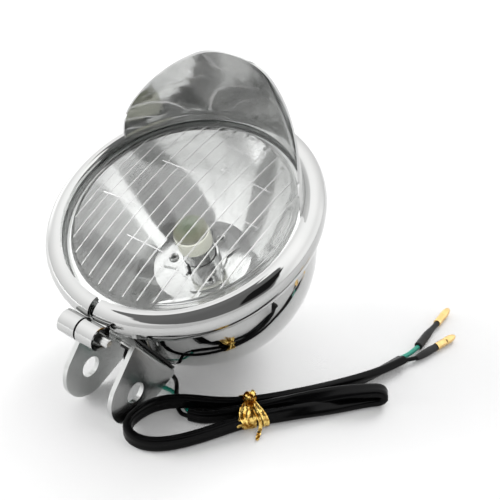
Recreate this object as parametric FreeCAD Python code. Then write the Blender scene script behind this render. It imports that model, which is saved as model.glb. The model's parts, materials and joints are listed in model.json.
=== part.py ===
import FreeCAD, Part
import math
import os

# Auxiliary driving light for a motorcycle, resting on a flat surface on its bowl
# and on the two ear tips of its bracket. Millimetres, +Z up, surface at z = 0,
# +X across the lamp, lens facing up and towards -Y.

V = FreeCAD.Vector

# ------------------------------------------------------------------ dimensions
TILT = 20.11            # lens axis leans this far from vertical, towards -Y
Y_SHIFT = 1.84          # lens centre along Y, so that the box is centred on the origin

LIP_R = 54.9            # inner edge of the trim ring's lip (visible glass)
RING_R = 63.3           # largest radius of the trim ring
RING_BACK_R = 60.2      # back edge of the trim ring
RING_BACK_N = -14.0
RING_MID_N = -5.6       # height of the largest radius
RING_CROWN_R = 6.0
RING_T = 1.0
RING_GAP = 3.0          # split at the bottom

BARREL_R = 5.3          # clamp barrels on the split
BARREL_BORE = 4.3
BARREL_HOLE = 2.25
BARREL_END = 10.0
BARREL_STEP = 2.2
BARREL_GAP = 1.0
SCREW_R = 2.0

VISOR_T = 0.8
VISOR_R = 54.05         # inner radius at the foot
VISOR_FOOT_N = -2.3
VISOR_BEND_N = 5.4      # crease above the foot
VISOR_LEAN = 3.4        # degrees outward above the crease
VISOR_TOP = 39.6        # height at the middle
VISOR_SPAN = 68.0       # half angle of the foot

LENS_R = 56.6
LENS_RIM_N = -2.5       # top of the flat rim
LENS_T = 2.9
LENS_DOME_R = 52.0
LENS_RISE = 5.5
FLUTE_PITCH = 7.0
FLUTE_H = 0.25
FLUTE_W = 0.6
FLUTE_END_R = 49.0       # the ribs stop at a step in the glass

GASKET_T = 1.0
REFL_T = 0.8
REFL_MOUTH_R = 51.5
REFL_FLAT_R = 23.0
REFL_FLAT_N = -39.0
REFL_HOLE = 9.3
COLLAR_N0 = -26.8        # cream collar between the cap and the globe
COLLAR_N1 = -18.2
LUG_R = 13.6             # bulb holder eyelets from the axis
LUG_END_R = 18.2
LUG_HALF = 7.5
LUG_ANGLES = (75.0, 195.0, 315.0)
EYELET_TURN = 10.0       # each eyelet sits to one side of its lug
GLOBE_R = 7.2
GLOBE_N = -19.4
FILAMENT_N = -16.6

BOWL_C = 26.47          # centre of the bowl behind the lip plane
BOWL_R = 54.91
BOWL_T = 0.9
BUCKET_RIM_R = 60.3
PAD_D = 51.6            # flat pad for the bracket, measured from the bowl centre
PAD_ANGLE = 35.5        # direction of the bracket bolt below horizontal

BR_T = 2.3              # bracket strip
BR_HALF = 14.8          # half width over the ears
BR_WIDE = 19.9          # half width of the base along the strip's edge
BR_SHIFT = 1.4
BR_BEND = 2.8
EAR_HOLE_D = 70.85      # ear hole, from the bowl centre
EAR_HOLE_R = 5.0
MOUNT_GASKET_T = 0.8
BOLT_R = 5.0
BOLT_BORE = 3.3
RIVET_END_D = 56.1

CORD_R = 2.0            # half the thickness of the flat lead
WIRE_R = 1.0
SLEEVE_R = 1.95
BULLET_R = 1.95

# ------------------------------------------------------------------ frames
t = math.radians(TILT)
Z_LIP = BOWL_C * math.cos(t) + BOWL_R
LAMP = FreeCAD.Placement(V(0, Y_SHIFT, Z_LIP), FreeCAD.Rotation(V(1, 0, 0), TILT))
BETA = PAD_ANGLE - TILT
BRK = LAMP * FreeCAD.Placement(V(0, 0, -BOWL_C), FreeCAD.Rotation(V(1, 0, 0), 90 + BETA))
BRK_IN_LAMP = FreeCAD.Placement(V(0, 0, -BOWL_C), FreeCAD.Rotation(V(1, 0, 0), 90 + BETA))
hole_world = BRK.multVec(V(0, BR_SHIFT, EAR_HOLE_D))
EAR_R = hole_world.z    # the ear tips touch the surface

os.makedirs("parts", exist_ok=True)
report = []


def save(name, shape, frame=None):
    s = shape.copy()
    if frame is not None:
        s.Placement = frame.multiply(s.Placement)
    solids = s.Solids
    if not s.isValid():
        print("INVALID", name)
    s.exportStep("parts/%s.step" % name)
    bb = s.BoundBox
    report.append((name, len(solids), sum(k.Volume for k in solids), bb))
    return s


def line(a, b):
    return Part.LineSegment(a, b).toShape()


def arc(a, m, b):
    return Part.Arc(a, m, b).toShape()


def rn(r, n):
    return V(r, 0, n)


def poly(points):
    pts = list(points) + [points[0]]
    return Part.Face(Part.makePolygon(pts))


def spin(edges):
    w = Part.Wire(edges)
    return Part.Face(w).revolve(V(0, 0, 0), V(0, 0, 1), 360)


def spin_poly(points):
    f = poly([rn(*p) for p in points])
    return f.revolve(V(0, 0, 0), V(0, 0, 1), 360)


def tube(r_out, r_in, z0, z1):
    s = Part.makeCylinder(r_out, z1 - z0, V(0, 0, z0))
    if r_in > 0:
        s = s.cut(Part.makeCylinder(r_in, z1 - z0 + 2, V(0, 0, z0 - 1)))
    return s


def hexagon(af, z0, z1):
    r = af / math.sqrt(3)
    pts = [V(r * math.cos(math.radians(60 * i)), r * math.sin(math.radians(60 * i)), z0) for i in range(6)]
    body = poly(pts).extrude(V(0, 0, z1 - z0))
    h = z1 - z0
    k = 0.28 * (r - af / 2) + 0.25
    cone = spin_poly([(0, z0), (af / 2 - 0.1, z0), (r + 0.2, z0 + k), (r + 0.2, z1 - k), (af / 2 - 0.1, z1), (0, z1)])
    return body.common(cone)


def along_x(s):
    """turn a piece made along +Z so that it lies along +X"""
    s = s.copy()
    s.rotate(V(0, 0, 0), V(0, 1, 0), 90)
    return s


def rounded_path(points, label=None, quiet=False):
    """straight runs joined by tangent arcs; returns wire, length and radii"""
    P = [V(*p) for p in points]
    edges = []
    radii = []
    cur = P[0]
    length = 0.0
    for i in range(1, len(P) - 1):
        a = P[i - 1] - P[i]
        b = P[i + 1] - P[i]
        la, lb = a.Length, b.Length
        a.normalize()
        b.normalize()
        inner = math.acos(max(-1, min(1, a.dot(b))))
        turn = math.pi - inner
        cut = 0.45 * min(la, lb)
        rad = cut / math.tan(turn / 2)
        radii.append(rad)
        p0 = P[i] + a * cut
        p1 = P[i] + b * cut
        bis = a + b
        bis.normalize()
        mid = P[i] + bis * (rad / math.cos(turn / 2) - rad)
        if (p0 - cur).Length > 1e-6:
            edges.append(line(cur, p0))
            length += (p0 - cur).Length
        edges.append(arc(p0, mid, p1))
        length += rad * turn
        cur = p1
    edges.append(line(cur, P[-1]))
    length += (P[-1] - cur).Length
    if label and not quiet:
        print("%s: length %.1f, least radius %.2f, radii %s" % (label, length, min(radii) if radii else 0, " ".join("%.1f" % r for r in radii)))
    return Part.Wire(edges), length, radii


def sweep(points, radius, label=None, bore=0):
    w, length, radii = rounded_path(points, label)
    p0 = V(*points[0])
    d = V(*points[1]) - p0
    c = Part.Wire(Part.Circle(p0, d, radius).toShape())
    s = w.makePipeShell([c], True, False)
    vol = s.Volume
    ideal = math.pi * radius * radius * length
    if abs(vol / ideal - 1) > 0.02:
        print("SWEEP volume off", label, vol, ideal)
    return s


# ------------------------------------------------------------------ trim ring
c1 = (RING_R - RING_CROWN_R, RING_MID_N)
lip_dn = math.sqrt(RING_CROWN_R ** 2 - (c1[0] - LIP_R) ** 2)
lip_n = RING_MID_N + lip_dn
db = RING_MID_N - RING_BACK_N
dr = RING_R - RING_BACK_R
R2 = (db * db + dr * dr) / (2 * dr)
c2 = (RING_R - R2, RING_MID_N)


def on(c, r, ang):
    return rn(c[0] + r * math.cos(math.radians(ang)), c[1] + r * math.sin(math.radians(ang)))


ang_lip = math.degrees(math.atan2(lip_dn, LIP_R - c1[0]))
ang_back = -math.degrees(math.asin(db / R2))
ri1 = RING_CROWN_R - RING_T
ri2 = R2 - RING_T
ang_in = 100.0
e = []
o0 = on(c1, RING_CROWN_R, ang_lip)
o1 = on(c1, RING_CROWN_R, 0)
o2 = on(c2, R2, ang_back)
i2 = on(c2, ri2, ang_back)
i1 = on(c1, ri1, 0)
i0 = on(c1, ri1, ang_in)
foot_out = rn(LIP_R, LENS_RIM_N + 0.05)
foot_in = rn(LIP_R + RING_T, LENS_RIM_N + 0.05)
lip_in_top = rn(LIP_R + RING_T, i0.z)
e.append(arc(o0, on(c1, RING_CROWN_R, ang_lip / 2), o1))
e.append(arc(o1, on(c2, R2, ang_back / 2), o2))
e.append(line(o2, i2))
e.append(arc(i2, on(c2, ri2, ang_back / 2), i1))
e.append(arc(i1, on(c1, ri1, ang_in / 2), i0))
if (lip_in_top - i0).Length > 1e-4:
    e.append(line(i0, lip_in_top))
e.append(line(lip_in_top, foot_in))
e.append(line(foot_in, foot_out))
e.append(line(foot_out, o0))
ring = spin(e)
gap_box = Part.makeBox(RING_GAP, 80, 60, V(-RING_GAP / 2, -80, -30))
ring = ring.cut(gap_box)
save("trim_ring", ring, LAMP)

ring_env = spin([arc(o0, on(c1, RING_CROWN_R, ang_lip / 2), o1), arc(o1, on(c2, R2, ang_back / 2), o2),
                 line(o2, rn(0, o2.z)), line(rn(0, o2.z), rn(0, o0.z)), line(rn(0, o0.z), o0)])

# ------------------------------------------------------------------ clamp
bar_u = -(RING_R + BARREL_R - 0.15)
bar_n = RING_MID_N


def at_clamp(s):
    s = s.copy()
    s.translate(V(0, bar_u, bar_n))
    return s


half = BARREL_GAP / 2
barrel = tube(BARREL_R, BARREL_HOLE, half, BARREL_END).cut(
    Part.makeCylinder(BARREL_BORE, 20, V(0, 0, BARREL_STEP)))
barrel = at_clamp(along_x(barrel))
web = Part.makeBox(BARREL_END - 1.0 - RING_GAP / 2, 8, 3.6, V(RING_GAP / 2, bar_u, bar_n - 2.4))
web = web.cut(at_clamp(along_x(Part.makeCylinder(BARREL_R - 0.3, 40, V(0, 0, -20)))))
web = web.cut(ring_env)
barrel = barrel.cut(ring_env).fuse(web).removeSplitter()
save("clamp_barrel_right", barrel, LAMP)
left = barrel.mirror(V(0, 0, 0), V(1, 0, 0))
save("clamp_barrel_left", left, LAMP)

# cheese head against the left step, shank through both barrels
shank = Part.makeCylinder(SCREW_R, BARREL_STEP + 15.2, V(0, 0, -BARREL_STEP))
tip = spin_poly([(0, 15.2 - 1), (SCREW_R + 1, 15.2 - 1), (SCREW_R + 1, 15.2 - 0.6), (SCREW_R - 0.6, 15.2), (0, 15.2)])
shank = shank.cut(Part.makeBox(10, 10, 5, V(-5, -5, 14.2))).fuse(shank.common(Part.makeBox(10, 10, 5, V(-5, -5, 14.2))).common(tip)).removeSplitter()
head = Part.makeCylinder(3.6, 2.8, V(0, 0, -BARREL_STEP - 2.8))
head = head.makeFillet(0.5, [ed for ed in head.Edges if abs(ed.BoundBox.ZMax + BARREL_STEP + 2.8) < 1e-6 and ed.BoundBox.ZLength < 1e-6])
screw = shank.fuse(head).removeSplitter()
screw = screw.cut(Part.makeBox(1.0, 10, 1.4, V(-0.5, -5, -BARREL_STEP - 2.8)))
save("clamp_screw", at_clamp(along_x(screw)), LAMP)
cnut = hexagon(7.0, BARREL_STEP + 0.05, BARREL_STEP + 2.6).cut(Part.makeCylinder(SCREW_R, 40, V(0, 0, -10)))
save("clamp_nut", at_clamp(along_x(cnut)), LAMP)

# ------------------------------------------------------------------ visor
lean = math.tan(math.radians(VISOR_LEAN))
rt = VISOR_R + (VISOR_TOP + 2 - VISOR_BEND_N) * lean
ht = VISOR_TOP + 2
wall = spin_poly([(VISOR_R, VISOR_FOOT_N), (VISOR_R + VISOR_T, VISOR_FOOT_N), (VISOR_R + VISOR_T, VISOR_BEND_N - 0.05),
                  (rt + VISOR_T, ht), (rt, ht), (VISOR_R, VISOR_BEND_N + 0.05)])
# sides: the wall is kept inside a peaked outline seen along the lamp's up direction
r_end = VISOR_R + VISOR_T / 2
edge = [(0, 39.6), (8, 39.55), (13, 39.2), (20, 37.7), (26, 35.2), (32, 32.6), (38, 29.7), (44, 26.5), (50, 23.0),
        (55, 19.8), (59.5, 16.4), (63, 12.8), (65.8, 8.6), (67.4, 4.4)]
pts = []
for ang, n in edge:
    r = r_end + max(0.0, n - VISOR_BEND_N) * lean
    pts.append(V(0, r * math.cos(math.radians(ang)), n * VISOR_TOP / 39.6))
u_lo = r_end * math.cos(math.radians(VISOR_SPAN))
u_hi = pts[0].y + 4
rim = Part.BSplineCurve()
rim.interpolate(pts)
prof = Part.Wire([
    rim.toShape(),
    line(pts[-1], V(0, u_lo, 0.5)),
    line(V(0, u_lo, 0.5), V(0, u_lo, VISOR_FOOT_N - 1)),
    line(V(0, u_lo, VISOR_FOOT_N - 1), V(0, u_hi, VISOR_FOOT_N - 1)),
    line(V(0, u_hi, VISOR_FOOT_N - 1), V(0, u_hi, VISOR_TOP)),
    line(V(0, u_hi, VISOR_TOP), pts[0])])
keep = Part.Face(prof).extrude(V(160, 0, 0))
keep.translate(V(-80, 0, 0))
visor = wall.common(keep)
save("visor", visor, LAMP)

# ------------------------------------------------------------------ lens
n0 = LENS_RIM_N
h = LENS_RISE
Ro = (LENS_DOME_R ** 2 + h * h) / (2 * h)
co = n0 + h - Ro                      # centre of the outer dome
Ri = Ro - LENS_T * 0.95
rim_b = n0 - LENS_T
r_ib = math.sqrt(Ri * Ri - (rim_b - co) ** 2) if Ri > abs(rim_b - co) else LENS_DOME_R - 1
lens = spin([arc(rn(0, co + Ro), rn(Ro * math.sin(0.5 * math.asin(LENS_DOME_R / Ro)), co + Ro * math.cos(0.5 * math.asin(LENS_DOME_R / Ro))), rn(LENS_DOME_R, n0)),
             line(rn(LENS_DOME_R, n0), rn(LENS_R - 0.5, n0)), line(rn(LENS_R - 0.5, n0), rn(LENS_R, n0 - 0.5)),
             line(rn(LENS_R, n0 - 0.5), rn(LENS_R, rim_b)), line(rn(LENS_R, rim_b), rn(r_ib, rim_b)),
             arc(rn(r_ib, rim_b), rn(Ri * math.sin(0.5 * math.asin(r_ib / Ri)), co + Ri * math.cos(0.5 * math.asin(r_ib / Ri))), rn(0, co + Ri)),
             line(rn(0, co + Ri), rn(0, co + Ro))])
# fine raised ribs along the lamp's up direction and a few across
shell = Part.makeSphere(Ro + FLUTE_H, V(0, 0, co)).cut(Part.makeSphere(Ro - 0.3, V(0, 0, co)))
shell = shell.common(Part.makeCylinder(FLUTE_END_R, 30, V(0, 0, rim_b - 1)))
bars = []
k = -7
while k <= 7:
    x = (k + 0.0) * FLUTE_PITCH
    if abs(x) < FLUTE_END_R - 3:
        bars.append(Part.makeBox(FLUTE_W, 130, 40, V(x - FLUTE_W / 2, -65, -20)))
    k += 1
for (x0, x1, u) in ((-24.5, -3.5, 17.0), (3.5, 31.5, 24.5), (17.5, 38.5, 6.0), (-38.5, -17.5, -9.0), (-10.5, 10.5, -24.0), (-3.5, 17.5, 38.0)):
    bars.append(Part.makeBox(x1 - x0, FLUTE_W, 40, V(x0, u, -20)))
pieces = [shell.common(bx) for bx in bars]
fused = lens
fused = fused.multiFuse(pieces)
fused = fused.removeSplitter()
if len(fused.Solids) == 1 and fused.isValid():
    lens = fused
else:
    print("lens flutes not fused", len(fused.Solids))
save("lens", lens, LAMP)

g1 = rim_b
g0 = g1 - GASKET_T
save("lens_gasket", tube(LENS_R + 0.4, 55.1, g0, g1), LAMP)

# ------------------------------------------------------------------ reflector
f1 = g0
f0 = f1 - REFL_T
k4 = (REFL_MOUTH_R ** 2 - REFL_FLAT_R ** 2) / (f0 - REFL_FLAT_N)


def para_n(r):
    return REFL_FLAT_N + (r * r - REFL_FLAT_R ** 2) / k4


steps = 7
radii = [REFL_FLAT_R + (REFL_MOUTH_R - REFL_FLAT_R) * i / steps for i in range(steps + 1)]
bsp_in = Part.BSplineCurve()
bsp_in.interpolate([rn(r, para_n(r)) for r in radii])
bsp_out = Part.BSplineCurve()


def turned(s, angle):
    """turned about the lamp axis; 0 is the lamp's x direction"""
    s = s.copy()
    s.rotate(V(0, 0, 0), V(0, 0, 1), angle)
    return s


def out_pt(r):
    s = 2 * r / k4
    q = math.sqrt(1 + s * s)
    return rn(r + REFL_T * s / q, para_n(r) - REFL_T / q)


bsp_out.interpolate([out_pt(r) for r in radii])
o_top = out_pt(REFL_MOUTH_R)
o_bot = out_pt(REFL_FLAT_R)
refl = spin([bsp_in.toShape(), line(rn(REFL_MOUTH_R, f0), rn(REFL_MOUTH_R, f1)), line(rn(REFL_MOUTH_R, f1), rn(LENS_R + 0.2, f1)),
             line(rn(LENS_R + 0.2, f1), rn(LENS_R + 0.2, f0)), line(rn(LENS_R + 0.2, f0), rn(o_top.x + 0.3, f0)),
             line(rn(o_top.x + 0.3, f0), o_top), bsp_out.toShape(), line(o_bot, rn(o_bot.x - 0.4, REFL_FLAT_N - REFL_T)),
             line(rn(o_bot.x - 0.4, REFL_FLAT_N - REFL_T), rn(REFL_HOLE, REFL_FLAT_N - REFL_T)),
             line(rn(REFL_HOLE, REFL_FLAT_N - REFL_T), rn(REFL_HOLE, REFL_FLAT_N)), line(rn(REFL_HOLE, REFL_FLAT_N), rn(REFL_FLAT_R, REFL_FLAT_N))])
for a in LUG_ANGLES:
    refl = refl.cut(turned(Part.makeCylinder(1.6, 8, V(LUG_R, 0, REFL_FLAT_N - 4)), a + EYELET_TURN))
save("reflector", refl, LAMP)

# ------------------------------------------------------------------ bulb holder and bulb
fl0 = REFL_FLAT_N
flange = Part.makeCylinder(11.6, 1.0, V(0, 0, fl0))
plate = Part.makeCylinder(LUG_END_R, 1.0, V(0, 0, fl0))
for a in LUG_ANGLES:
    flange = flange.fuse(turned(plate.common(Part.makeBox(LUG_END_R, 2 * LUG_HALF, 1.0, V(0, -LUG_HALF, fl0))), a))
flange = flange.removeSplitter()
socket = flange.fuse(Part.makeCylinder(8.7, 19.0, V(0, 0, -53.5)))
socket = socket.cut(Part.makeCylinder(7.8, 40, V(0, 0, -60)))
for a in LUG_ANGLES:
    socket = socket.cut(turned(Part.makeCylinder(1.6, 8, V(LUG_R, 0, fl0 - 4)), a + EYELET_TURN))
for s in (1, -1):
    socket = socket.cut(Part.makeBox(2.4, 4, 11, V(-1.2, 7 if s > 0 else -11, -45.5)))
socket = socket.removeSplitter()
save("bulb_socket", socket, LAMP)

ey = spin_poly([(1.1, fl0 - REFL_T - 0.9), (2.5, fl0 - REFL_T - 0.9), (2.5, fl0 - REFL_T), (1.55, fl0 - REFL_T), (1.55, fl0 + 1.0), (2.2, fl0 + 1.0),
                (2.4, fl0 + 1.3), (2.3, fl0 + 1.75), (1.9, fl0 + 2.0), (1.5, fl0 + 1.9), (1.1, fl0 + 1.4)])
ey.translate(V(LUG_R, 0, 0))
save("socket_eyelets", Part.makeCompound([turned(ey, a + EYELET_TURN) for a in LUG_ANGLES]), LAMP)

cap_r = 7.5
cap = tube(cap_r, cap_r - 0.6, -50.0, COLLAR_N0)
cap = cap.fuse(Part.makeCylinder(cap_r, 0.8, V(0, 0, -50.8)))
lead_tip = spin_poly([(0, -52.0), (1.6, -52.0), (2.2, -51.4), (2.2, -50.8), (0, -50.8)])
cap = cap.fuse(lead_tip)
pin = Part.makeCylinder(0.9, 1.5, V(0, cap_r - 0.25, -44.4), V(0, 1, 0))
cap = cap.fuse(pin).fuse(pin.mirror(V(0, 0, 0), V(0, 1, 0))).removeSplitter()
save("bulb_cap", cap, LAMP)
save("bulb_collar", spin_poly([(6.35, COLLAR_N0), (7.7, COLLAR_N0), (8.1, COLLAR_N0 + 0.5), (8.15, COLLAR_N1 - 0.6), (7.8, COLLAR_N1), (6.35, COLLAR_N1)]), LAMP)

gl_t = 0.7
neck = 6.2
sh_o = COLLAR_N1 + 0.05
sh_i = sh_o + gl_t


def dome(r, n):
    """arc of the globe from its top down to the height n"""
    d = n - GLOBE_N
    end = math.atan2(d, math.sqrt(r * r - d * d))
    mid = (end + math.pi / 2) / 2
    return [rn(0, GLOBE_N + r), rn(r * math.cos(mid), GLOBE_N + r * math.sin(mid)), rn(r * math.cos(end), n)]


do = dome(GLOBE_R, sh_o)
di = dome(GLOBE_R - gl_t, sh_i)
glass = spin([arc(*do), line(do[2], rn(neck, sh_o)), line(rn(neck, sh_o), rn(neck, -40.0)), line(rn(neck, -40.0), rn(neck - gl_t, -40.0)),
              line(rn(neck - gl_t, -40.0), rn(neck - gl_t, sh_i)), line(rn(neck - gl_t, sh_i), di[2]), arc(di[2], di[1], di[0]), line(di[0], do[0])])
save("bulb_glass", glass, LAMP)
stem = spin_poly([(0, -40.0), (5.4, -40.0), (5.4, -38.6), (2.2, -33.0), (1.6, -23.0), (0, -22.2)])
for s in (1, -1):
    stem = stem.fuse(sweep([(s * 0.9, 0, -24.0), (s * 1.0, 0, -22.0), (s * 3.0, 0, -19.6), (s * 3.0, 0, FILAMENT_N + 0.6)], 0.3))
save("bulb_stem", stem.removeSplitter(), LAMP)
fil = along_x(Part.makeCylinder(0.45, 5.4, V(0, 0, -2.7)))
fil.translate(V(0, 0, FILAMENT_N))
save("filament", fil, LAMP)

ins = Part.makeCylinder(7.7, 1.4, V(0, 0, -55.6)).cut(Part.makeCylinder(2.3, 10, V(0, 0, -60)))
save("socket_insulator", ins, LAMP)
plg = Part.makeCylinder(2.1, 4.4, V(0, 0, -56.4)).fuse(Part.makeCylinder(2.9, 0.8, V(0, 0, -52.9))).removeSplitter()
save("contact_plunger", plg, LAMP)
spring = tube(2.8, 2.25, -54.2, -52.95)
save("contact_spring", spring, LAMP)
tab = Part.makeBox(4.0, 0.8, 9.0, V(-2.0, 8.75, -49.0)).fuse(Part.makeBox(4.0, 7.0, 0.8, V(-2.0, 8.75, -49.0))).removeSplitter()
save("earth_tab", tab, LAMP)

# ------------------------------------------------------------------ bucket
pad_dir = V(0, -math.cos(math.radians(BETA)), -math.sin(math.radians(BETA)))


def bowl_solid(shrink, top):
    r = BOWL_R - shrink
    s = Part.makeSphere(r, V(0, 0, -BOWL_C)).cut(Part.makeBox(200, 200, 200, V(-100, -100, -BOWL_C)))
    s = s.fuse(Part.makeCylinder(r, BOWL_C + top, V(0, 0, -BOWL_C))).removeSplitter()
    slab = Part.makeBox(200, 200, 100, V(-100, -100, PAD_D - shrink))
    slab.Placement = BRK_IN_LAMP.multiply(slab.Placement)
    return s.cut(slab)


rim1 = f0
rim0 = rim1 - 1.0
bucket = bowl_solid(0, rim1)
bucket = bucket.fuse(Part.makeCylinder(BUCKET_RIM_R, 1.0, V(0, 0, rim0)))
bucket = bucket.fuse(tube(BUCKET_RIM_R, BUCKET_RIM_R - 0.9, rim0 - 3.2, rim0 + 0.5))
bucket = bucket.cut(bowl_solid(BOWL_T, rim1 + 5))
bhole = Part.makeCylinder(BOLT_R + 0.2, 40, V(0, BR_SHIFT, 30))
bhole.Placement = BRK_IN_LAMP.multiply(bhole.Placement)
bucket = bucket.cut(bhole).removeSplitter()
save("bucket", bucket, LAMP)

# ------------------------------------------------------------------ bracket and its bolt
# frame: x across, y along the strip's width (front), z away from the bowl
d0 = PAD_D
d1 = d0 + MOUNT_GASKET_T
d2 = d1 + BR_T


def disc(r_out, r_in, z0, z1):
    s = tube(r_out, r_in, z0, z1)
    s.translate(V(0, BR_SHIFT, 0))
    return s


pad = Part.makeBox(2 * BR_HALF - 1.2, 2 * BR_WIDE - 1.4, MOUNT_GASKET_T, V(-BR_HALF + 0.6, BR_SHIFT - BR_WIDE + 0.7, d0))
pad = pad.makeFillet(2.0, [ed for ed in pad.Edges if ed.BoundBox.ZLength > 0.5 * MOUNT_GASKET_T])
save("mount_gasket", pad.cut(disc(BOLT_R + 0.2, 0, d0 - 5, d1 + 5)), BRK)

outer = Part.makeBox(2 * BR_HALF, 80, 60, V(-BR_HALF, -40 + BR_SHIFT, d1))
outer = outer.makeFillet(BR_BEND, [ed for ed in outer.Edges if abs(ed.BoundBox.ZMax - d1) < 1e-6 and ed.BoundBox.YLength > 70])
inner = Part.makeBox(2 * (BR_HALF - BR_T), 100, 80, V(-(BR_HALF - BR_T), -50 + BR_SHIFT, d2))
inner = inner.makeFillet(BR_BEND - BR_T + 0.4, [ed for ed in inner.Edges if abs(ed.BoundBox.ZMax - d2) < 1e-6 and ed.BoundBox.YLength > 90])
strip = outer.cut(inner)
# outline of one ear seen along x: straight tapered sides, round end about the hole
hd = EAR_HOLE_D - d1
half_w = BR_WIDE
dist = math.hypot(half_w, hd)
phi = math.atan2(half_w, hd)
al = math.acos(EAR_R / dist)
ta = phi + al
tx = EAR_R * math.sin(ta)
tz = EAR_HOLE_D - EAR_R * math.cos(ta)
tan_r = V(0, BR_SHIFT + tx, tz)
tan_l = V(0, BR_SHIFT - tx, tz)
out_w = Part.Wire([line(V(0, BR_SHIFT - half_w, d1 - 0.001), V(0, BR_SHIFT + half_w, d1 - 0.001)),
                   line(V(0, BR_SHIFT + half_w, d1 - 0.001), tan_r),
                   arc(tan_r, V(0, BR_SHIFT, EAR_HOLE_D + EAR_R), tan_l),
                   line(tan_l, V(0, BR_SHIFT - half_w, d1 - 0.001))])
plate = Part.Face(out_w).extrude(V(60, 0, 0))
plate.translate(V(-30, 0, 0))
bracket = strip.common(plate)
bracket = bracket.cut(Part.makeCylinder(EAR_HOLE_R, 80, V(-40, BR_SHIFT, EAR_HOLE_D), V(1, 0, 0)))
bracket = bracket.cut(disc(BOLT_R + 0.2, 0, d0 - 5, d2 + 5)).removeSplitter()
# the strip is kept as its base and its two ears, joined at the bends
x_in = BR_HALF - BR_T
mid = Part.makeBox(2 * x_in, 100, 60, V(-x_in, -50, d0 - 10))
save("bracket_base", bracket.common(mid).removeSplitter(), BRK)
for name, s in (("bracket_ear_left", -1), ("bracket_ear_right", 1)):
    side = Part.makeBox(20, 100, 60, V(x_in if s > 0 else -x_in - 20, -50, d0 - 10))
    save(name, bracket.common(side).removeSplitter(), BRK)

in_w = d0 - BOWL_T
save("backing_washer", disc(12.0, BOLT_R + 0.2, in_w - 1.6, in_w), BRK)
rivet_p = Part.Face(Part.Wire([line(rn(BOLT_BORE, in_w - 1.6 - 2.2), rn(8.0, in_w - 1.6 - 2.2)), arc(rn(8.0, in_w - 1.6 - 2.2), rn(8.9, in_w - 1.6 - 1.1), rn(8.0, in_w - 1.6)),
                               line(rn(8.0, in_w - 1.6), rn(BOLT_R, in_w - 1.6)), line(rn(BOLT_R, in_w - 1.6), rn(BOLT_R, d2)), line(rn(BOLT_R, d2), rn(6.9, d2)),
                               arc(rn(6.9, d2), rn(7.5, d2 + 0.6), rn(6.9, d2 + 1.2)), line(rn(6.9, d2 + 1.2), rn(BOLT_BORE, RIVET_END_D)),
                               line(rn(BOLT_BORE, RIVET_END_D), rn(BOLT_BORE, in_w - 1.6 - 2.2))]))
rivet = rivet_p.revolve(V(0, 0, 0), V(0, 0, 1), 360)
rivet.translate(V(0, BR_SHIFT, 0))
save("hollow_rivet", rivet, BRK)
bush = disc(BOLT_BORE, 2.35, in_w - 5.2, RIVET_END_D).fuse(disc(4.2, 2.35, RIVET_END_D, RIVET_END_D + 0.5)).removeSplitter()
save("bolt_bush", bush, BRK)

# ------------------------------------------------------------------ wires
def brk_pt(x, y, z):
    p = BRK.multVec(V(x, y, z))
    return (p.x, p.y, p.z)


def lamp_pt(x, u, n):
    p = LAMP.multVec(V(x, u, n))
    return (p.x, p.y, p.z)


def tb(x, y, z):
    """point on or over the surface, given from the lens centre"""
    return (x, y + Y_SHIFT, z)


wo = 1.08
inner_green = [lamp_pt(0, 0.1, -56.65), lamp_pt(0, -1.5, -62.0), lamp_pt(0.6, -9.0, -65.5), lamp_pt(wo, -19.0, -63.5),
               lamp_pt(wo, -29.0, -55.0), brk_pt(wo, BR_SHIFT, 41.0), brk_pt(wo, BR_SHIFT, 52.0)]
save("inner_lead_green", sweep(inner_green, WIRE_R, "inner_lead_green"))
inner_black = [lamp_pt(0, 14.6, -50.05), lamp_pt(0, 14.6, -56.0), lamp_pt(-2.5, 12.0, -64.5), lamp_pt(-5.5, 2.0, -71.0), lamp_pt(-6.0, -12.0, -70.0),
               lamp_pt(-4.0, -25.0, -61.5), brk_pt(-wo, BR_SHIFT, 40.0), brk_pt(-wo, BR_SHIFT, 52.0)]
save("inner_lead_black", sweep(inner_black, WIRE_R, "inner_lead_black"))

lead_green = [brk_pt(wo, BR_SHIFT, 52.0), brk_pt(wo, BR_SHIFT, 59.6), brk_pt(2.0, -6.0, 61.6), brk_pt(4.6, -13.4, 64.6),
              tb(9.0, -29.8, 2.4), tb(14.8, -27.6, 1.1), tb(20.6, -28.4, 1.05), tb(26.6, -31.4, 1.05), tb(30.6, -33.6, 1.7), tb(33.6, -34.7, 3.0)]
lead_black = [brk_pt(-wo, BR_SHIFT, 52.0), brk_pt(-wo, BR_SHIFT, 59.6), brk_pt(-0.2, -5.4, 60.8), brk_pt(2.0, -13.0, 61.6),
              tb(5.0, -25.8, 5.0), tb(9.4, -20.8, 2.9), tb(13.6, -22.4, 2.8), tb(17.8, -26.6, 4.6), tb(22.0, -32.0, 1.3), tb(26.6, -35.4, 1.05),
              tb(31.0, -37.0, 1.9), tb(33.6, -36.6, 2.9)]

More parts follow.
